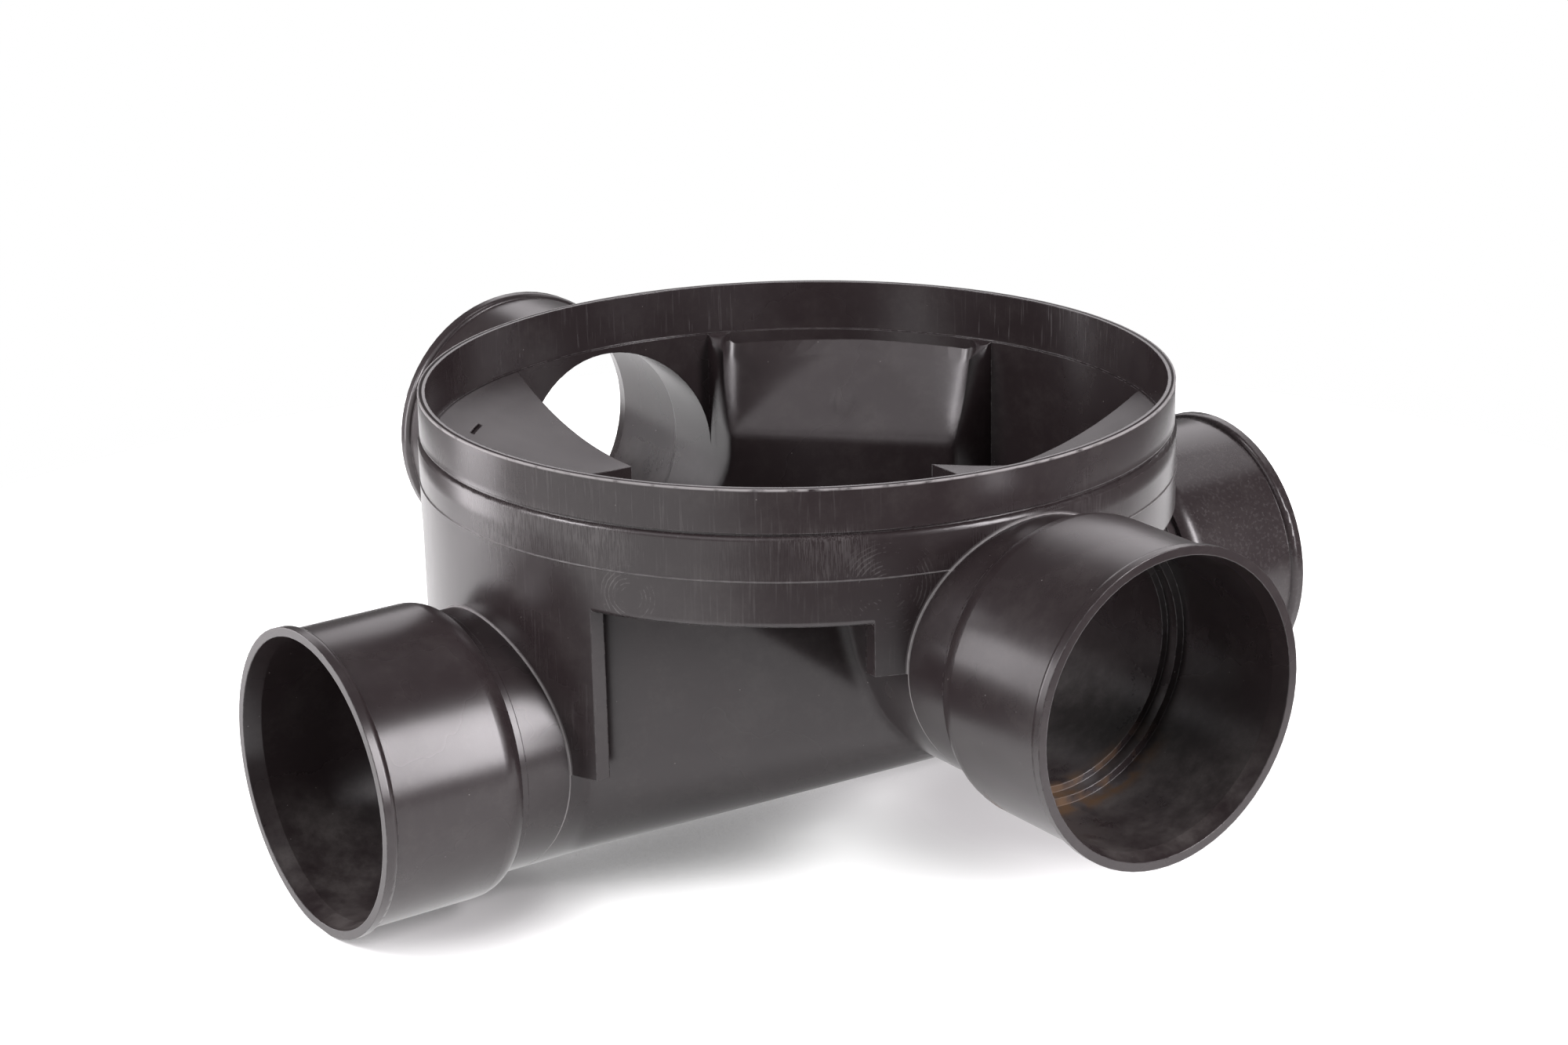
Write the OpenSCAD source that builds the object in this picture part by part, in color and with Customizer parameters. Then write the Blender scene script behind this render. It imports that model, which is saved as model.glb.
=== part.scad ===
// Four-way drain inspection chamber base, moulded in one piece.
// The origin is on the chamber's axis, at floor level. The deep main run
// lies along X, and the two raised side branches lie along Y.

/* [Riser ring] */
// Outside diameter of the ring that takes the riser shaft
ring_od = 470; // [440:1:520]
// Wall of the ring
ring_wall = 4.8; // [3:0.1:7]
// Depth of the riser seat below the rim
riser_depth = 33; // [24:0.5:40]
// Height of the rim above the axis of the main run
rim_rise = 186; // [180:1:230]
// Depth of the outside groove below the rim
groove_drop = 26; // [16:0.5:30]
// Height and depth of the outside groove
groove_size = 1.4; // [0.6:0.1:2.4]

/* [Drum] */
// How far the drum stands proud of the ring, on the radius
drum_proud = 1.2; // [0.4:0.1:3]
// Wall of the drum
drum_wall = 8; // [5:0.1:10]
// Radius of the drum's outer edges
drum_round = 3.5; // [2:0.5:5]
// Depth of the mould's parting line below the rim
parting_drop = 54; // [46:0.5:70]
// Height and depth of the parting line's bead
parting_size = 0.5; // [0.3:0.1:1.2]
// Height and depth of the flash where a pipe leaves the drum
flash_size = 0.7; // [0.4:0.1:1.2]
// Head of the side windows below the rim
window_drop = 82; // [78:0.5:100]
// Width of the skirt that stays round each pipe
skirt_w = 197; // [184:1:210]

/* [Channels] */
// Bore of every channel
bore_d = 152; // [130:1:160]
// Wall of the channels and of the benches
wall = 5; // [3.5:0.1:6]
// Rise of the side branches above the main run
branch_rise = 73; // [50:1:80]
// Distance from the chamber's axis to the nose of each dished bench
nose_reach = 26; // [10:1:40]
// Rise of the swept channels' toes above the main run
toe_rise = 27; // [15:1:40]
// Radius of the swept channels' toes
toe_r = 30; // [20:1:40]

/* [Benches] */
// Depth of the dished benches' flat middle below the rim
bench_drop = 64.5; // [60:0.5:72]
// Radius of the flat middle of the dish
bench_flat_r = 110; // [90:1:125]
// Depth of the rear panel's foot below the rim
panel_drop = 99; // [90:1:110]
// Depth of the front panel's foot below the rim
front_panel_drop = 80; // [70:1:81]
// Height of the upright edge between a steep panel and the riser seat
panel_lip = 6; // [3:0.5:10]
// Radius of the steep panels' upper corners
panel_round = 14; // [8:1:20]
// Diameter of the ejector marks on the dished benches
bench_mark_d = 20; // [10:1:30]
// Diameter of the ejector marks on the steep panels
panel_mark_d = 14; // [8:1:20]
// Depth of the ejector marks
mark_depth = 0.5; // [0.3:0.1:1.5]

/* [Sockets] */
// Distance from the chamber's axis to the mouth of each main socket
main_reach = 350; // [335:1:400]
// Distance from the chamber's axis to the mouth of each branch socket
branch_reach = 354; // [335:1:400]
// Bore of the sockets, for a 150 mm twin-wall pipe
socket_d = 171; // [166:0.5:176]
// Wall of the sockets
socket_wall = 5; // [3.5:0.1:6]
// Depth from the mouth to the pipe stop
socket_depth = 86; // [70:1:90]
// Diameter of the mouth, at the outer end of the lead-in
mouth_d = 176.4; // [174:0.2:184]
// Length of the lead-in taper
lead_in = 11; // [5:0.5:20]
// Inside diameter of the pipe stop's first ring
stop_d = 160.6; // [156:0.2:163]
// Length of the step between the pipe stop and the channel
stop_step = 8; // [4:0.5:12]
// Outside diameter of the lip's bead
lip_d = 187; // [184:0.5:200]
// Length of the lip's bead
lip_len = 9; // [6:0.5:16]
// Length of the rounded shoulder behind the socket
shoulder_len = 18; // [12:1:24]
// Width of the flat that each main socket stands on
foot_w = 24; // [16:1:40]

/* [Hidden] */
$fn = 96;
// Overlap that keeps faces from lying on each other, and a longer one
eps = 0.02;
fit = 0.5;
// Larger than the whole part
big = 1000;
// Radius of the corner at a swept channel's heel
heel_r = 2;
// Distance of the benches' marks from the axis
mark_reach = 208;
// Distance of the panels' marks up the slope and to one side of its middle
panel_mark_rise = 28;
panel_mark_side = 11;

ring_r = ring_od / 2;
ring_in_r = ring_r - ring_wall;
drum_r = ring_r + drum_proud;
drum_in_r = drum_r - drum_wall;
bore_r = bore_d / 2;
pipe_r = bore_r + wall;
lip_r = lip_d / 2;
barrel_r = socket_d / 2 + socket_wall;

// Heights above the floor
main_z = sqrt(lip_r * lip_r - foot_w * foot_w / 4);
branch_z = main_z + branch_rise;
rim_z = main_z + rim_rise;
seat_z = rim_z - riser_depth;
bench_z = rim_z - bench_drop;
window_z = rim_z - window_drop;
drum_h = rim_z - groove_drop - groove_size - window_z;

// The dish is flat in the middle and then rises on one arc to the riser seat
dish_run = drum_in_r - bench_flat_r;
dish_rise = seat_z - bench_z;
dish_arc_r = (dish_run * dish_run + dish_rise * dish_rise) / (2 * dish_rise);

// Each port's turn about Z, height of axis and reach
PORTS = [
    [0, main_z, main_reach],
    [90, branch_z, branch_reach],
    [180, main_z, main_reach],
    [270, branch_z, branch_reach]
];

// Height of the dish's surface at a distance r from the axis
function dish_height(r) =
    bench_z + dish_arc_r - sqrt(pow(dish_arc_r, 2) - pow(r - bench_flat_r, 2));

// The two swept corners, between the front branch and the left run and
// between the rear branch and the right run. For each one: its turn, how far
// the panel's foot reaches along the run and along the branch, the foot's
// height, the place of the toe, and the place and height of the heel
SWEEPS = [
    [225, 203, 149, rim_z - front_panel_drop, [35, 166], [64.5, 134.5], seat_z],
    [45, 182, 191, rim_z - panel_drop, [46, 181], [74, 189], rim_z - panel_drop]
];

plastic = [0.19, 0.175, 0.175];

module on_port(port) {
    translate([0, 0, port[1]])
        rotate([0, 90, port[0]])
            children();
}

// A run of the given radius along a port's axis, from the chamber's axis
module run(port, r, length) {
    on_port(port)
        cylinder(r = r, h = length);
}

// A straight-sided slot above a port's axis, up to height top
module slot(port, half_w, length, top) {
    rotate([0, 0, port[0]])
        translate([0, -half_w, port[1]])
            cube([length, 2 * half_w, top - port[1]]);
}

// A port's slot, which for a main run stops at the nose of the bench
module channel_slot(i, r, top) {
    if (i % 2 == 1)
        slot(PORTS[i], r, drum_r, top);
    else
        intersection() {
            slot(PORTS[i], r, drum_r, top);
            rotate([0, 0, SWEEPS[1 - i / 2][0]])
                translate([nose_reach - r + bore_r, -big, 0])
                    cube([big, 2 * big, big]);
        }
}

// A swept channel, grown by grow: it leaves the main run at full depth and
// rises to the branch in a round toe, under a heel
module sweep(corner, grow) {
    r = bore_r - fit + grow;
    start = nose_reach * 2;
    length = corner[1] + grow - start;
    heel = corner[5] + [1, 1] * grow * sin(45);
    rotate([0, 0, corner[0] - 45])
        hull() {
            translate([start, 0, main_z]) {
                rotate([0, 90, 0])
                    cylinder(r = r, h = length);
                translate([0, -r, 0])
                    cube([length, 2 * r, corner[6] - main_z]);
            }
            translate([corner[4][0], corner[4][1], main_z + toe_rise])
                sphere(r = toe_r + grow, $fn = 40);
            translate([heel[0], heel[1], corner[6] - heel_r])
                cylinder(r = heel_r, h = heel_r, $fn = 24);
        }
}

// Everything above the dish, grown downwards and outwards by grow
module dish(grow, r) {
    floor_z = bench_z - grow;
    intersection() {
        translate([0, 0, floor_z])
            cylinder(r = r, h = big);
        union() {
            cylinder(r = bench_flat_r, h = big);
            rotate_extrude()
                translate([bench_flat_r, floor_z + dish_arc_r + grow])
                    intersection() {
                        circle(r = dish_arc_r + grow, $fn = 180);
                        translate([0, -big])
                            square(2 * big);
                    }
            translate([0, 0, bench_z + dish_arc_r])
                cylinder(r = r, h = big);
        }
    }
}

// The hollow under the riser seat over a swept corner: round at the seat
// and straight at its foot
module panel_hollow(corner) {
    rotate([0, 0, corner[0] - 45])
        hull() {
            translate([0, 0, seat_z - panel_lip])
                linear_extrude(panel_lip + fit) {
                    offset(r = panel_round)
                        offset(delta = -panel_round)
                            intersection() {
                                circle(r = drum_in_r + 1, $fn = 128);
                                translate([bore_r, bore_r])
                                    square(big);
                            }
                    translate([bore_r - 1, bore_r - 1])
                        square(panel_round);
                }
            translate([0, 0, corner[3] - fit])
                linear_extrude(fit)
                    polygon([
                        [bore_r - 1, bore_r - 1],
                        [corner[1], bore_r - 1],
                        [bore_r - 1, corner[2]]
                    ]);
        }
}

// Plan direction of the normal of a panel's foot line, the line's distance
// from the axis, and the panel's lean from the upright
function panel_plan(corner) = atan2(corner[1] - bore_r, corner[2] - bore_r);
function panel_foot(corner) =
    corner[1] * cos(panel_plan(corner)) + bore_r * sin(panel_plan(corner));
function panel_lean(corner) =
    atan2(drum_in_r - panel_foot(corner), seat_z - panel_lip - corner[3]);

// Placed on a panel's foot line, with X out along its normal and Z up the slope
module on_panel(corner) {
    rotate([0, 0, corner[0] - 45 + panel_plan(corner)])
        translate([panel_foot(corner), 0, corner[3]])
            rotate([0, panel_lean(corner), 0])
                children();
}

// The block that backs a steep panel: its outer side leans out from the foot
// to the drum
module panel_back(corner) {
    intersection() {
        rotate([0, 0, corner[0] - 45])
            translate([bore_r, bore_r, corner[3] - wall])
                cube([big, big, seat_z - corner[3] + wall]);
        on_panel(corner)
            translate([wall - big, -big / 2, -big / 2])
                cube(big);
    }
}

// Round ejector marks, sunk into the benches and the steep panels
function panel_mark_reach(corner) =
    panel_foot(corner) + panel_mark_rise * sin(panel_lean(corner));

module ejector_marks() {
    for (corner = SWEEPS) {
        rotate([0, 0, corner[0] - 90])
            translate([mark_reach, 0, dish_height(mark_reach) - mark_depth])
                cylinder(d = bench_mark_d, h = 2 * mark_depth);
        intersection() {
            on_panel(corner)
                translate([-mark_depth, -big / 2, 0])
                    cube([2 * mark_depth, big, big]);
            rotate([0, 0, corner[0] - 45 + panel_plan(corner)])
                translate([panel_mark_reach(corner), panel_mark_side, corner[3]])
                    cylinder(d = panel_mark_d, h = seat_z - corner[3]);
        }
    }
}

// A socket's outside, along its own axis
module socket_body(reach) {
    bead_r = lip_len / 2;
    shoulder_z = reach - socket_depth - stop_step - wall;
    rise = barrel_r - pipe_r;
    // barrel and lip
    translate([0, 0, shoulder_z + shoulder_len])
        cylinder(r = barrel_r, h = reach - shoulder_z - shoulder_len);
    translate([0, 0, reach - lip_len / 2])
        cylinder(r = lip_r, h = lip_len / 2);
    // the bead rolls over into the barrel
    intersection() {
        translate([0, 0, reach - lip_len / 2])
            rotate_extrude()
                translate([lip_r - bead_r, 0])
                    circle(r = bead_r, $fn = 48);
        cylinder(r = big, h = reach);
    }
    // rounded shoulder down to the pipe
    translate([0, 0, shoulder_z + shoulder_len])
        rotate_extrude()
            intersection() {
                translate([barrel_r - shoulder_len, 0])
                    circle(r = shoulder_len, $fn = 96);
                translate([0, -rise * 1.25])
                    square([barrel_r, rise * 1.25]);
            }
    translate([0, 0, shoulder_z])
        cylinder(r = pipe_r + 1, h = shoulder_len);
}

module socket_hollow(reach) {
    translate([0, 0, reach - socket_depth])
        cylinder(d = socket_d, h = socket_depth + eps);
    translate([0, 0, reach - lead_in])
        cylinder(d1 = socket_d, d2 = mouth_d, h = lead_in + eps);
    translate([0, 0, reach - socket_depth - stop_step])
        cylinder(d = stop_d, h = stop_step + eps);
}

// Flat under each main socket, cut by the floor plane
module below_floor() {
    translate([-big, -big, -big])
        cube([2 * big, 2 * big, big]);
}

module ring_and_drum() {
    translate([0, 0, rim_z - groove_drop])
        cylinder(r = ring_r, h = groove_drop);
    // the drum's outer edges are rounded, under the groove and over the windows
    translate([0, 0, window_z])
        rotate_extrude() {
            square([drum_r - drum_round, drum_h]);
            translate([0, drum_round])
                square([drum_r, drum_h - 2 * drum_round]);
            for (height = [drum_round, drum_h - drum_round])
                translate([drum_r - drum_round, height])
                    circle(r = drum_round, $fn = 48);
        }
    translate([0, 0, window_z])
        cylinder(r = ring_r - groove_size, h = rim_z - groove_drop - window_z + eps);
    // parting line, as a fine bead
    translate([0, 0, rim_z - parting_drop - parting_size / 2])
        cylinder(r = drum_r + parting_size, h = parting_size);
    // fine flash round each pipe where it leaves the drum
    for (port = PORTS)
        intersection() {
            run(port, pipe_r + flash_size, drum_r + 1);
            translate([0, 0, port[1]])
                cylinder(r = drum_r + flash_size, h = pipe_r + 1);
        }
    // skirts round the upper half of each pipe
    for (port = PORTS)
        intersection() {
            cylinder(r = drum_r, h = window_z + drum_round);
            rotate([0, 0, port[0]])
                translate([0, -skirt_w / 2, port[1]])
                    cube([big, skirt_w, big]);
        }
}

// Walls that the channels need, before anything is hollowed out
module channel_walls() {
    intersection() {
        cylinder(r = drum_in_r + eps, h = seat_z);
        union() {
            for (i = [0:3])
                channel_slot(i, pipe_r, seat_z);
            for (corner = SWEEPS) {
                sweep(corner, wall);
                panel_back(corner);
            }
        }
    }
    for (port = PORTS)
        run(port, pipe_r, port[2] - socket_depth);
}

// The dished slab that the channels are sunk into
module bench_slab() {
    difference() {
        intersection() {
            dish(wall, drum_in_r + eps);
            cylinder(r = drum_r, h = seat_z);
        }
        // nothing of it is left over the swept corners
        for (corner = SWEEPS)
            rotate([0, 0, corner[0] - 45])
                translate([bore_r, bore_r, 0])
                    cube(big);
    }
}

// What the shaft, the channels and the panels leave open to the top
module chamber_hollow() {
    translate([0, 0, seat_z])
        cylinder(r = ring_in_r, h = big);
    dish(0, drum_in_r);
    intersection() {
        cylinder(r = drum_in_r, h = seat_z + eps);
        union() {
            for (i = [0:3])
                channel_slot(i, bore_r, seat_z + eps);
            for (corner = SWEEPS) {
                sweep(corner, 0);
                panel_hollow(corner);
            }
        }
    }
    for (port = PORTS)
        run(port, bore_r, port[2]);
}

module chamber_base() {
    color(plastic)
        difference() {
            union() {
                difference() {
                    ring_and_drum();
                    translate([0, 0, -eps])
                        cylinder(r = drum_in_r, h = seat_z);
                }
                channel_walls();
                bench_slab();
                for (port = PORTS)
                    on_port(port)
                        socket_body(port[2]);
            }
            chamber_hollow();
            ejector_marks();
            for (port = PORTS)
                on_port(port)
                    socket_hollow(port[2]);
            below_floor();
        }
}

chamber_base();
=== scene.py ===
# %% [markdown]
# A drain inspection chamber base is the buried bottom of a small manhole. It is
# moulded in one piece from black polypropylene: an open ring for the riser shaft,
# a drum with benches and channels inside it, and four pipe sockets around it.
# The solid comes from CAD and stays as it is. This lesson gives it the finish that
# such a moulding has when it leaves the stack in a builders' merchant's yard.
# The first step loads the solid and keeps its box.

# %% Load the imported solid
import math

import bpy
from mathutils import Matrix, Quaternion, Vector


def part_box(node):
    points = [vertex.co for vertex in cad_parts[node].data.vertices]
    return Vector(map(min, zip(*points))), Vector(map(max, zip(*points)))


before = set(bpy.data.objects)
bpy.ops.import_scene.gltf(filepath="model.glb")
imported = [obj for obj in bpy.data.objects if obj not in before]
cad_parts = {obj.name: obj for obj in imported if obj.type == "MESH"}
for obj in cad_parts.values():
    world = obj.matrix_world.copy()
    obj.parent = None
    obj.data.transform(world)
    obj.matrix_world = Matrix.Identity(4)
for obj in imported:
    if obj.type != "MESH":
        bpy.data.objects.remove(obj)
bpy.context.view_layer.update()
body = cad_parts["chamber_base"]
low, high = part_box("chamber_base")
print("chamber base, size in metres:", [round(v, 4) for v in high - low])

# %% [markdown]
# The finish changes from place to place: the rim is scuffed, the drum is rubbed
# below its groove, and the pipes have pale flash where they leave the drum. Such
# places are given once here, as heights and radii of the real moulding, measured
# from the floor and from the riser's axis.

# %% Where things are on the moulding
RIM_Z = high.z
SEAT_Z = RIM_Z - 0.033
GROOVE_Z = RIM_Z - 0.026
PARTING_Z = RIM_Z - 0.054
WINDOW_Z = RIM_Z - 0.082
RING_R = 0.235
RING_IN_R = 0.2302
DRUM_R = 0.2362
MAIN_Z = RIM_Z - 0.186
BRANCH_Z = MAIN_Z + 0.073
PIPE_R = 0.081
SOCKET_R = 0.086
print("rim at", round(RIM_Z, 4), "main axis at", round(MAIN_Z, 4))

# %% [markdown]
# The camera comes before the finish, because the light is judged through it. It
# looks down on the base from its front left, about 18 degrees above the floor, from
# two metres away with a fairly long lens, so that the sockets are hardly
# stretched. An aim point and a distance are easier to adjust than a position.

# %% Camera
CAMERA_TURN = math.radians(-34.52)
CAMERA_RISE = math.radians(18.55)
CAMERA_ROLL = math.radians(-1.18)
CAMERA_DISTANCE = 2.0264
CAMERA_AIM = Vector((-0.0077, 0.0053, MAIN_Z + 0.0882))
LENS_MM = 73.55

back = Vector((
    math.sin(CAMERA_TURN) * math.cos(CAMERA_RISE),
    -math.cos(CAMERA_TURN) * math.cos(CAMERA_RISE),
    math.sin(CAMERA_RISE),
))
turn = (-back).to_track_quat("-Z", "Y") @ Quaternion((0, 0, 1), CAMERA_ROLL)
bpy.ops.object.select_all(action="DESELECT")
bpy.ops.object.camera_add(location=CAMERA_AIM + back * CAMERA_DISTANCE,
                          rotation=turn.to_euler())
camera = bpy.context.object
camera.data.lens = LENS_MM
camera.data.sensor_width = 36
bpy.context.scene.camera = camera
bpy.context.scene.view_settings.view_transform = "Standard"
print("camera stands at", [round(v, 3) for v in camera.location])

# %% [markdown]
# Every finish below is a few shader nodes. A few helpers keep that readable: they
# add a node, feed it a link or a number, do arithmetic, fade smoothly from 0 to 1
# between two values, and make a noise pattern.

# %% Helpers for shader nodes
def add(tree, kind, **settings):
    node = tree.nodes.new("ShaderNode" + kind)
    for name, value in settings.items():
        setattr(node, name, value)
    return node


def feed(tree, socket, value):
    if isinstance(value, bpy.types.NodeSocket):
        tree.links.new(value, socket)
    else:
        socket.default_value = value


def maths(tree, operation, *values):
    node = add(tree, "Math", operation=operation)
    for socket, value in zip(node.inputs, values):
        feed(tree, socket, value)
    return node.outputs[0]


def fade(tree, value, start, end):
    node = add(tree, "MapRange", interpolation_type="SMOOTHSTEP")
    for name, number in (("Value", value), ("From Min", start), ("From Max", end)):
        feed(tree, node.inputs[name], number)
    return node.outputs["Result"]


def noise(tree, vector, scale, detail, roughness=0.5):
    node = add(tree, "TexNoise", noise_dimensions="3D")
    for name, value in (("Vector", vector), ("Scale", scale), ("Detail", detail),
                        ("Roughness", roughness)):
        feed(tree, node.inputs[name], value)
    return node.outputs["Fac"]


print("helpers ready")

# %% [markdown]
# An effect that is used in more than one place becomes a node group, with named
# inputs and outputs. One helper makes an empty group, and one places it.

# %% Helpers for node groups
def new_group(name, inputs, outputs):
    tree = bpy.data.node_groups.new(name, "ShaderNodeTree")
    for label, kind, value in inputs:
        socket = tree.interface.new_socket(label, in_out="INPUT",
                                           socket_type="NodeSocket" + kind)
        if value is not None:
            socket.default_value = value
    for label, kind in outputs:
        tree.interface.new_socket(label, in_out="OUTPUT",
                                  socket_type="NodeSocket" + kind)
    return tree, tree.nodes.new("NodeGroupInput"), tree.nodes.new("NodeGroupOutput")


def use_group(tree, group, **values):
    node = add(tree, "Group", node_tree=group)
    for name, value in values.items():
        feed(tree, node.inputs[name.replace("_", " ")], value)
    return node


print("group helpers ready")

# %% [markdown]
# Most wear sits in a band: a range of heights, or of distances from an axis. A
# band is 1 between two values and fades out on both sides. It is used many times,
# so it is a group of its own.

# %% Node group: a band between two values
band_group, src, out = new_group(
    "Band",
    [("Value", "Float", 0.0), ("From", "Float", 0.0), ("To", "Float", 1.0),
     ("Soft", "Float", 0.001)],
    [("Mask", "Float")])
rise = fade(band_group, src.outputs["Value"],
            maths(band_group, "SUBTRACT", src.outputs["From"], src.outputs["Soft"]),
            maths(band_group, "ADD", src.outputs["From"], src.outputs["Soft"]))
fall = fade(band_group, src.outputs["Value"],
            maths(band_group, "ADD", src.outputs["To"], src.outputs["Soft"]),
            maths(band_group, "SUBTRACT", src.outputs["To"], src.outputs["Soft"]))
feed(band_group, out.inputs["Mask"], maths(band_group, "MULTIPLY", rise, fall))


def band(tree, value, start, end, soft=0.001):
    node = use_group(tree, band_group, Value=value, From=start, To=end, Soft=soft)
    return node.outputs["Mask"]


print("band group ready")

# %% [markdown]
# Scuffs are long, fine and pale. A noise pattern that is squeezed hard in two
# directions and hardly in the third turns into streaks. Only its highest values
# are kept, and a second, coarse noise leaves whole patches clean, as handling does.

# %% Node group: streaks
streak_group, src, out = new_group(
    "Streaks",
    [("Vector", "Vector", None), ("Fineness", "Vector", (900.0, 900.0, 30.0)),
     ("Patch Size", "Float", 14.0), ("Keep", "Float", 0.56)],
    [("Mask", "Float")])
squeeze = add(streak_group, "VectorMath", operation="MULTIPLY")
feed(streak_group, squeeze.inputs[0], src.outputs["Vector"])
feed(streak_group, squeeze.inputs[1], src.outputs["Fineness"])
lines = noise(streak_group, squeeze.outputs["Vector"], 1.0, 2.0)
patch = noise(streak_group, src.outputs["Vector"], src.outputs["Patch Size"], 3.0)
keep = fade(streak_group, lines, src.outputs["Keep"],
            maths(streak_group, "ADD", src.outputs["Keep"], 0.14))
feed(streak_group, out.inputs["Mask"],
     maths(streak_group, "MULTIPLY", keep, fade(streak_group, patch, 0.42, 0.66)))
print("streak group ready")

# %% [markdown]
# Dust settles as separate small specks. A Voronoi pattern gives one point to each
# cell. Near a point the distance is small, and the cell's random colour decides
# whether there is a speck at all, so that the specks are scattered and uneven.

# %% Node group: dust specks
speck_group, src, out = new_group(
    "Specks",
    [("Vector", "Vector", None), ("Density", "Float", 260.0), ("Size", "Float", 0.1),
     ("Share", "Float", 0.08)],
    [("Mask", "Float")])
cells = add(speck_group, "TexVoronoi", feature="F1")
feed(speck_group, cells.inputs["Vector"], src.outputs["Vector"])
feed(speck_group, cells.inputs["Scale"], src.outputs["Density"])
chance = add(speck_group, "SeparateColor")
feed(speck_group, chance.inputs["Color"], cells.outputs["Color"])
dot = fade(speck_group, cells.outputs["Distance"], src.outputs["Size"], 0.02)
lucky = maths(speck_group, "LESS_THAN", chance.outputs["Red"], src.outputs["Share"])
feed(speck_group, out.inputs["Mask"], maths(speck_group, "MULTIPLY", dot, lucky))
print("speck group ready")

# %% [markdown]
# Moulded edges are never quite sharp, and they are the first places that get
# rubbed. The Bevel node rounds the shading over an edge without touching the
# solid. Where its rounded direction and the true one differ, there is an edge, and
# that difference is the mask for the pale edges: rub marks, and a painted
# highlight along each edge.

# %% Node group: rounded edges, rubbed and with painted highlights
edge_group, src, out = new_group(
    "Edges",
    [("Radius", "Float", 0.0008), ("Vector", "Vector", None)],
    [("Normal", "Vector"), ("RubAndHighlight", "Float")])
soft_edge = add(edge_group, "Bevel", samples=6)
feed(edge_group, soft_edge.inputs["Radius"], src.outputs["Radius"])
true_face = add(edge_group, "NewGeometry")
agree = add(edge_group, "VectorMath", operation="DOT_PRODUCT")
feed(edge_group, agree.inputs[0], soft_edge.outputs["Normal"])
feed(edge_group, agree.inputs[1], true_face.outputs["Normal"])
nibble = noise(edge_group, src.outputs["Vector"], 160.0, 4.0)
on_edge = fade(edge_group, agree.outputs["Value"], 0.995, 0.9)
# This output paints edges pale: rub marks, and a painted highlight along each edge.
feed(edge_group, out.inputs["RubAndHighlight"],
     maths(edge_group, "MULTIPLY", on_edge, fade(edge_group, nibble, 0.42, 0.6)))
feed(edge_group, out.inputs["Normal"], soft_edge.outputs["Normal"])
print("edge group ready")

# %% [markdown]
# The material itself is black polypropylene with carbon black in it, which is a
# warm, very dark grey with a semi-gloss skin. It starts as a Principled shader with
# plain numbers on the sockets that stay the same all over.

# %% The black plastic
plastic = bpy.data.materials.new("black_plastic")
plastic.use_nodes = True
tree = plastic.node_tree
shader = tree.nodes["Principled BSDF"]
shader.inputs["IOR"].default_value = 1.5
shader.inputs["Metallic"].default_value = 0.0

CLEAN_COLOUR = (0.0235, 0.0172, 0.0183, 1)
# The scuff colour also paints highlights on the edges, and the dust colour also paints light on
# upward faces low in the runs.
SCUFF_AND_HIGHLIGHT_COLOUR = (0.30, 0.285, 0.285, 1)
DUST_AND_PAINTED_LIGHT_COLOUR = (0.33, 0.31, 0.29, 1)
DIRT_COLOUR = (0.11, 0.062, 0.03, 1)

place = add(tree, "TexCoord").outputs["Object"]
split = add(tree, "SeparateXYZ")
feed(tree, split.inputs[0], place)
x, y, z = split.outputs


def distance(tree, a, b):
    """How far a point lies from an axis, from its two offsets."""
    return maths(tree, "SQRT", maths(tree, "ADD", maths(tree, "MULTIPLY", a, a),
                                     maths(tree, "MULTIPLY", b, b)))


radius = distance(tree, x, y)
from_main = distance(tree, y, maths(tree, "SUBTRACT", z, MAIN_Z))
from_branch = distance(tree, x, maths(tree, "SUBTRACT", z, BRANCH_Z))
out_main = maths(tree, "ABSOLUTE", x)
out_branch = maths(tree, "ABSOLUTE", y)
print("material begun:", plastic.name)

# %% [markdown]
# Now the places of wear. Each line makes one mask from bands: the rubbed belt
# under the groove, the inside of the ring, the flash where the pipes leave the
# drum, and the dirt that has stayed behind in the front branch's socket.

# %% Wear masks
outside = band(tree, radius, RING_R - 0.002, DRUM_R + 0.002)
belt = maths(tree, "MULTIPLY", outside, band(tree, z, PARTING_Z, GROOVE_Z, 0.007))
belt_streaks = use_group(tree, streak_group, Vector=place, Fineness=(1700.0, 1700.0, 110.0),
                         Patch_Size=8.0, Keep=0.44).outputs["Mask"]
belt_scuffs = maths(tree, "MULTIPLY", belt, belt_streaks)

drum_streaks = use_group(tree, streak_group, Vector=place, Fineness=(620.0, 620.0, 34.0),
                         Patch_Size=9.0, Keep=0.56).outputs["Mask"]
drum_scuffs = maths(tree, "MULTIPLY", outside, drum_streaks)

inside_ring = maths(tree, "MULTIPLY", band(tree, radius, RING_IN_R - 0.001, RING_IN_R + 0.001),
                    fade(tree, z, SEAT_Z, SEAT_Z + 0.006))
ring_scuffs = maths(tree, "MULTIPLY", inside_ring, drum_streaks)

flash_main = maths(tree, "MULTIPLY", band(tree, from_main, PIPE_R - 0.001, PIPE_R + 0.0015, 0.0004),
                   fade(tree, out_main, 0.2, 0.21))
flash_branch = maths(tree, "MULTIPLY",
                     band(tree, from_branch, PIPE_R - 0.001, PIPE_R + 0.0015, 0.0004),
                     fade(tree, out_branch, 0.2, 0.21))
flash = maths(tree, "MULTIPLY", maths(tree, "MAXIMUM", flash_main, flash_branch),
              band(tree, radius, DRUM_R + 0.0001, DRUM_R + 0.0008, 0.0003))

specks = use_group(tree, speck_group, Vector=place, Density=190.0, Size=0.09,
                   Share=0.07).outputs["Mask"]
print("wear masks ready")
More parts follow.
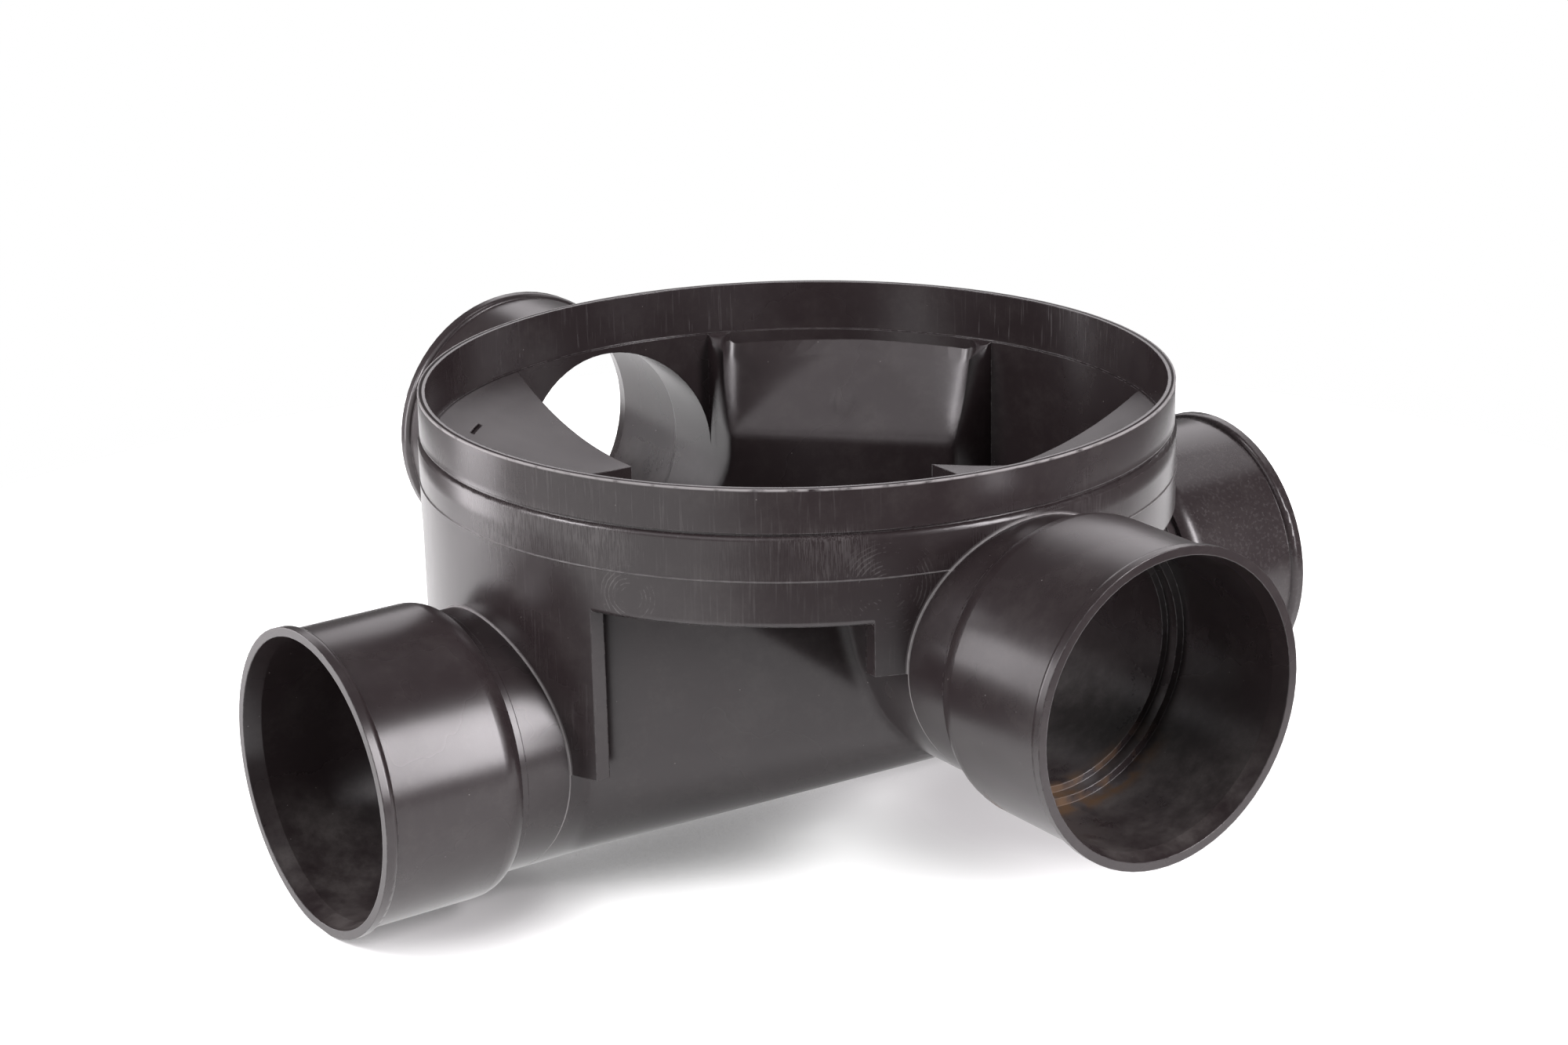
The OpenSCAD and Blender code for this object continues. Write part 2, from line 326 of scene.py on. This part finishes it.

# %% [markdown]
# The rim is knocked first: its outer edge is painted almost white, partly for its
# nicks and partly as a painted highlight along the edge. The parting line of the
# mould shows as a fine pale line round the drum. A cloudy noise gives a thin haze
# all over, and a much finer one mottles the right socket, where it was handled.

# %% Rim, parting line, haze and mottling
NEAR_RIM_EDGE = (RING_R - 0.0006, RING_R + 0.001)
NEAR_PARTING = (PARTING_Z - 0.0004, PARTING_Z + 0.0004)
cloud = noise(tree, place, 34.0, 9.0, 0.72)
haze = fade(tree, cloud, 0.42, 0.72)
chips = noise(tree, place, 120.0, 5.0)
# The rim's outer edge is painted pale, partly for nicks and partly as a painted highlight.
rim_edge_nicks_and_highlight = maths(tree, "MULTIPLY", band(tree, radius, *NEAR_RIM_EDGE, 0.0004),
                 fade(tree, z, RIM_Z - 0.0016, RIM_Z - 0.0006))
rim_edge_nicks_and_highlight = maths(tree, "MULTIPLY", rim_edge_nicks_and_highlight, fade(tree, chips, 0.25, 0.5))
parting = maths(tree, "MULTIPLY", outside, band(tree, z, *NEAR_PARTING, 0.0003))
mottle = noise(tree, place, 420.0, 6.0)
handled = maths(tree, "MULTIPLY", fade(tree, x, 0.24, 0.28), fade(tree, mottle, 0.5, 0.66))
print("rim, parting line, haze and mottling ready")

# %% [markdown]
# Something round has been rubbed on the drum in two places and left fine arcs. The
# sine of the distance from one point makes rings round it. The cloudy noise makes
# them waver and wipes parts of them away.

# %% Swirls on the drum
SWIRL_FINENESS = 2400.0
SWIRL_WAVER = 0.006


def swirl(tree, turn, height, reach):
    """Fine scratches in arcs round one place on the drum's outside."""
    azimuth = math.radians(turn)
    apart = add(tree, "VectorMath", operation="DISTANCE")
    feed(tree, apart.inputs[0], place)
    apart.inputs[1].default_value = (DRUM_R * math.cos(azimuth), DRUM_R * math.sin(azimuth), height)
    waver = maths(tree, "MULTIPLY", cloud, SWIRL_WAVER)
    wavering = maths(tree, "ADD", apart.outputs["Value"], waver)
    arcs = maths(tree, "SINE", maths(tree, "MULTIPLY", wavering, SWIRL_FINENESS))
    marks = maths(tree, "MULTIPLY", fade(tree, arcs, 0.5, 1.0), fade(tree, cloud, 0.46, 0.6))
    return maths(tree, "MULTIPLY", marks, fade(tree, apart.outputs["Value"], reach, reach * 0.4))


swirls = maths(tree, "MULTIPLY", outside,
               maths(tree, "MAXIMUM", swirl(tree, -113, WINDOW_Z + 0.022, 0.034),
                     swirl(tree, -149, WINDOW_Z + 0.014, 0.024)))
print("swirls ready")

# %% [markdown]
# Upward faces at the bottom of the channels and the sockets are painted paler, as
# painted light that brightens these dark hollows. So it needs the distance from a
# run's axis, the height, and the direction in which the face looks.

# %% Painted light on upward faces low in the runs
LOWER_RUN_DEPTH = 0.03


def lower_run_mask(tree, from_axis, axis_z):
    """The lower part of a run, out to the wall of its sockets."""
    return maths(tree, "MULTIPLY", fade(tree, from_axis, SOCKET_R + 0.003, SOCKET_R + 0.001),
                 fade(tree, z, axis_z, axis_z - LOWER_RUN_DEPTH))


looks = add(tree, "SeparateXYZ")
feed(tree, looks.inputs[0], add(tree, "NewGeometry").outputs["Normal"])
# Upward faces low in the runs are painted paler: painted light in these dark hollows.
upward_painted_light = maths(tree, "MAXIMUM", lower_run_mask(tree, from_main, MAIN_Z),
             lower_run_mask(tree, from_branch, BRANCH_Z))
upward_painted_light = maths(tree, "MULTIPLY", upward_painted_light, fade(tree, looks.outputs["Z"], 0.2, 0.8))
upward_painted_light = maths(tree, "MULTIPLY", upward_painted_light, fade(tree, cloud, 0.3, 0.75))
print("film ready")

# %% [markdown]
# Dirt is brown and lies where water stands: at the bottom of the stepped pipe stop
# in the front branch. Its edge is broken up with noise.

# %% Dirt in the front socket
STOP_Y = -0.268
dirt_noise = noise(tree, place, 70.0, 5.0)
dirt = maths(tree, "MULTIPLY",
             band(tree, y, STOP_Y - 0.012, STOP_Y + 0.012, 0.006),
             fade(tree, z, BRANCH_Z - 0.045, BRANCH_Z - 0.085))
dirt = maths(tree, "MULTIPLY", dirt, fade(tree, dirt_noise, 0.42, 0.62))
print("dirt ready")

# %% [markdown]
# The skin of a moulding isn't perfectly even. Broad noise changes its gloss a
# little, so that highlights look alive, and a fine grain gives the very slight
# orange peel that polypropylene keeps from its mould.

# %% Gloss and grain
BASE_ROUGHNESS = 0.16
GLOSS_CHANGE = 0.2
broad = noise(tree, place, 7.0, 4.0)
grain = noise(tree, place, 900.0, 2.0)
ripple = noise(tree, place, 26.0, 1.0)
gloss = maths(tree, "ADD", maths(tree, "MULTIPLY", broad, GLOSS_CHANGE), BASE_ROUGHNESS)
print("gloss and grain ready")

# %% [markdown]
# Over the two swept corners the real walls flow into each other in wide rounds, so
# the shading is rounded much more there than on the other edges. Such soft places
# get no pale edge either, neither rub nor painted highlight. The corners lie along
# one diagonal, inside the drum.

# %% Edges and soft corners
EDGE_ROUND = 0.0009
CORNER_ROUND = 0.011
diagonal = maths(tree, "ABSOLUTE", maths(tree, "MULTIPLY", maths(tree, "ADD", x, y), math.sqrt(0.5)))
corner = maths(tree, "MULTIPLY", fade(tree, diagonal, 0.09, 0.13),
               fade(tree, radius, 0.226, 0.222))
rounding = maths(tree, "ADD", maths(tree, "MULTIPLY", corner, CORNER_ROUND), EDGE_ROUND)
edges = use_group(tree, edge_group, Vector=place, Radius=rounding)
# Edges are painted pale, partly as wear and partly as a painted highlight, except on the soft
# corners.
rubbed_and_highlit_edges = maths(tree, "MULTIPLY", edges.outputs["RubAndHighlight"], maths(tree, "SUBTRACT", 1.0, corner))
print("edges ready")

# %% [markdown]
# Now the layers are laid over each other: clean plastic, then scuffs, rubbed edges
# and painted edge highlights, then dust and the painted light on upward faces, then
# dirt. Each mask mixes in its colour and roughens the surface. The numbers say how
# strongly each mark shows.

# %% Put the layers together
def layer(tree, under, over, mask):
    mix = add(tree, "Mix", data_type="RGBA")
    feed(tree, mix.inputs["Factor"], mask)
    feed(tree, mix.inputs["A"], under)
    feed(tree, mix.inputs["B"], over)
    return mix.outputs["Result"]


def total(tree, *parts):
    """Masks with their strengths, added up and kept at or under 1."""
    result = 0.0
    for mask, strength in parts:
        result = maths(tree, "ADD", result, maths(tree, "MULTIPLY", mask, strength))
    return maths(tree, "MINIMUM", result, 1.0)


scuffs_and_edge_highlights = total(tree, (belt_scuffs, 0.2), (drum_scuffs, 0.06), (ring_scuffs, 0.12),
               (flash, 0.9), (rim_edge_nicks_and_highlight, 1.0), (parting, 0.25), (handled, 0.05), (swirls, 0.3),
               (rubbed_and_highlit_edges, 0.15))
colour = layer(tree, CLEAN_COLOUR, SCUFF_AND_HIGHLIGHT_COLOUR, scuffs_and_edge_highlights)
colour = layer(tree, colour, DUST_AND_PAINTED_LIGHT_COLOUR, total(tree, (specks, 0.5), (upward_painted_light, 0.17), (haze, 0.035)))
colour = layer(tree, colour, DIRT_COLOUR, dirt)
feed(tree, shader.inputs["Base Color"], colour)

rough_more = total(tree, (scuffs_and_edge_highlights, 0.3), (dirt, 0.3), (specks, 0.2), (upward_painted_light, 0.17))
feed(tree, shader.inputs["Roughness"], maths(tree, "ADD", gloss, rough_more))

print("colour and roughness joined")

# %% [markdown]
# Small relief is left to a Bump node, which tilts the shading and keeps the solid.
# Its heights are in millimetres here: the grain, a broad ripple, the scratches of
# the belt, and the soft shoulder over which the drum turns in to the groove.

# %% Relief
GRAIN_MM = 0.012
RIPPLE_MM = 0.12
SCRATCH_MM = 0.006
SHOULDER_MM = 1.6
shoulder = fade(tree, z, GROOVE_Z - 0.016, GROOVE_Z + 0.004)
shoulder = maths(tree, "MULTIPLY", outside, shoulder)
height = maths(tree, "ADD", maths(tree, "MULTIPLY", grain, GRAIN_MM),
               maths(tree, "MULTIPLY", ripple, RIPPLE_MM))
height = maths(tree, "SUBTRACT", height, maths(tree, "MULTIPLY", belt_scuffs, SCRATCH_MM))
height = maths(tree, "SUBTRACT", height, maths(tree, "MULTIPLY", shoulder, SHOULDER_MM))
bump = add(tree, "Bump")
bump.inputs["Strength"].default_value = 1.0
bump.inputs["Distance"].default_value = 0.001
feed(tree, bump.inputs["Height"], height)
feed(tree, bump.inputs["Normal"], edges.outputs["Normal"])
feed(tree, shader.inputs["Normal"], bump.outputs["Normal"])

body.data.materials.clear()
body.data.materials.append(plastic)
print("plastic finished,", len(tree.nodes), "nodes in the material")

# %% [markdown]
# The base lies on a round white table in a studio. Its top is matt, so the lamps
# light it and the base throws a soft shadow on it. It glows as well, but only for
# the camera and for reflections, so that the rim of the table can't be told from
# the white behind it.

# %% Table top
TABLE_R = 0.84
TABLE_AT = (0.09, 0.14, 0)
bpy.ops.object.select_all(action="DESELECT")
bpy.ops.mesh.primitive_circle_add(vertices=128, radius=TABLE_R, fill_type="NGON",
                                  location=TABLE_AT)
table = bpy.context.object
table.name = "table_top"
white = bpy.data.materials.new("table_white")
white.use_nodes = True
tree = white.node_tree
matt = tree.nodes["Principled BSDF"]
matt.inputs["Base Color"].default_value = (0.75, 0.75, 0.75, 1)
matt.inputs["Roughness"].default_value = 0.9
matt.inputs["Specular IOR Level"].default_value = 0.0
matt.inputs["Emission Color"].default_value = (1, 1, 1, 1)
table.data.materials.append(white)
print("table laid, radius", TABLE_R)

# %% [markdown]
# The table's glow is turned down where the shadow is. A dark pool is 1 at one place
# on the table and fades to 0 at a distance from it. Two lie in front of the base,
# ambient occlusion adds the narrow dark line where the base touches the table, and
# a third pool is only for what the plastic mirrors.

# %% Glow of the table
NEAR_GLOW = 0.1
MIRRORED_DARK = 0.6
TOUCH_REACH = 0.09
FRONT_POOL = (0.03, -0.25, 0.2)
LEFT_POOL = (-0.36, -0.15, 0.12)
MIRRORED_POOL = (-0.07, -0.22, 0.28)
rays = add(tree, "LightPath")
on_table = add(tree, "SeparateXYZ")
feed(tree, on_table.inputs[0], add(tree, "TexCoord").outputs["Object"])


def pool(tree, x0, y0, reach):
    """1 at a place on the table, fading to 0 at a distance from it."""
    off_x = maths(tree, "SUBTRACT", on_table.outputs["X"], x0)
    off_y = maths(tree, "SUBTRACT", on_table.outputs["Y"], y0)
    return fade(tree, distance(tree, off_x, off_y), reach, reach * 0.3)


open_sky = add(tree, "AmbientOcclusion", samples=8)
open_sky.inputs["Distance"].default_value = TOUCH_REACH
dark = maths(tree, "MAXIMUM", pool(tree, *FRONT_POOL), pool(tree, *LEFT_POOL))
dark = maths(tree, "MAXIMUM", dark, fade(tree, open_sky.outputs["AO"], 0.5, 0.1))
seen = maths(tree, "SUBTRACT", 1.0, maths(tree, "MULTIPLY", dark, 1.0 - NEAR_GLOW))
mirrored = maths(tree, "SUBTRACT", 1.0,
                 maths(tree, "MULTIPLY", pool(tree, *MIRRORED_POOL), MIRRORED_DARK))
feed(tree, matt.inputs["Emission Strength"],
     maths(tree, "MAXIMUM", maths(tree, "MULTIPLY", rays.outputs["Is Glossy Ray"], mirrored),
           maths(tree, "MULTIPLY", rays.outputs["Is Camera Ray"], seen)))
print("glow set, near the base", NEAR_GLOW)

# %% [markdown]
# The room is white too, but only for the camera. Everything else gets a weak grey
# from it, because black plastic mirrors its surroundings and would look grey in an
# evenly white room. Only the wall on the left, low down, is light.

# %% Surroundings
DIM_WALL = 0.15
LEFT_WALL = 1.4
world = bpy.data.worlds.new("studio")
bpy.context.scene.world = world
world.use_nodes = True
tree = world.node_tree
room = tree.nodes["Background"]
room.inputs["Color"].default_value = (1, 1, 1, 1)
look = add(tree, "TexCoord").outputs["Generated"]
aim = add(tree, "SeparateXYZ")
feed(tree, aim.inputs[0], look)
to_left = maths(tree, "MULTIPLY", aim.outputs["X"], -1.0)
left_wall = maths(tree, "MULTIPLY", fade(tree, to_left, 0.62, 0.9),
                  fade(tree, aim.outputs["Z"], 0.38, 0.22))
wall = maths(tree, "ADD", maths(tree, "MULTIPLY", left_wall, LEFT_WALL), DIM_WALL)
camera_ray = add(tree, "LightPath").outputs["Is Camera Ray"]
feed(tree, room.inputs["Strength"], maths(tree, "MAXIMUM", camera_ray, wall))
print("room light at its dimmest:", DIM_WALL)

# %% [markdown]
# Softboxes make the highlights that show how round the pipes are: a tall one at the
# front right, and one at the back left that reaches below the table's edge, so that
# the upright walls mirror it too. Two on the left, two on the right and a weak one
# overhead fill in the rest. Each has a turn and a rise as seen from the base, a
# distance, a size and a power.

# %% Lamps
LAMP_COLOUR = (1.0, 0.955, 0.985)


def softbox(name, turn, rise, away, width, height, watts):
    azimuth, elevation = math.radians(turn), math.radians(rise)
    towards = Vector((math.cos(azimuth) * math.cos(elevation),
                      math.sin(azimuth) * math.cos(elevation), math.sin(elevation)))
    centre = Vector((0, 0, MAIN_Z))
    bpy.ops.object.light_add(type="AREA", location=centre + towards * away,
                             rotation=(-towards).to_track_quat("-Z", "Y").to_euler())
    lamp = bpy.context.object
    lamp.name = name
    lamp.data.shape = "RECTANGLE"
    lamp.data.size, lamp.data.size_y = width, height
    lamp.data.energy = watts
    lamp.data.color = LAMP_COLOUR


softbox("front_softbox", -69, 24, 2.0, 0.4, 1.5, 46)
softbox("back_softbox", 133, 7, 1.5, 0.55, 0.9, 11.5)
softbox("left_softbox", 163, 32, 2.0, 0.5, 0.5, 19)
softbox("high_left_softbox", -160, 50, 2.2, 1.4, 1.4, 10)
softbox("right_softbox", 46, 31, 2.2, 2.0, 1.2, 13)
softbox("far_right_softbox", 0, 48, 2.2, 0.8, 0.5, 2)
softbox("overhead_softbox", 0, 90, 2.4, 0.5, 0.5, 6)

# %% [markdown]
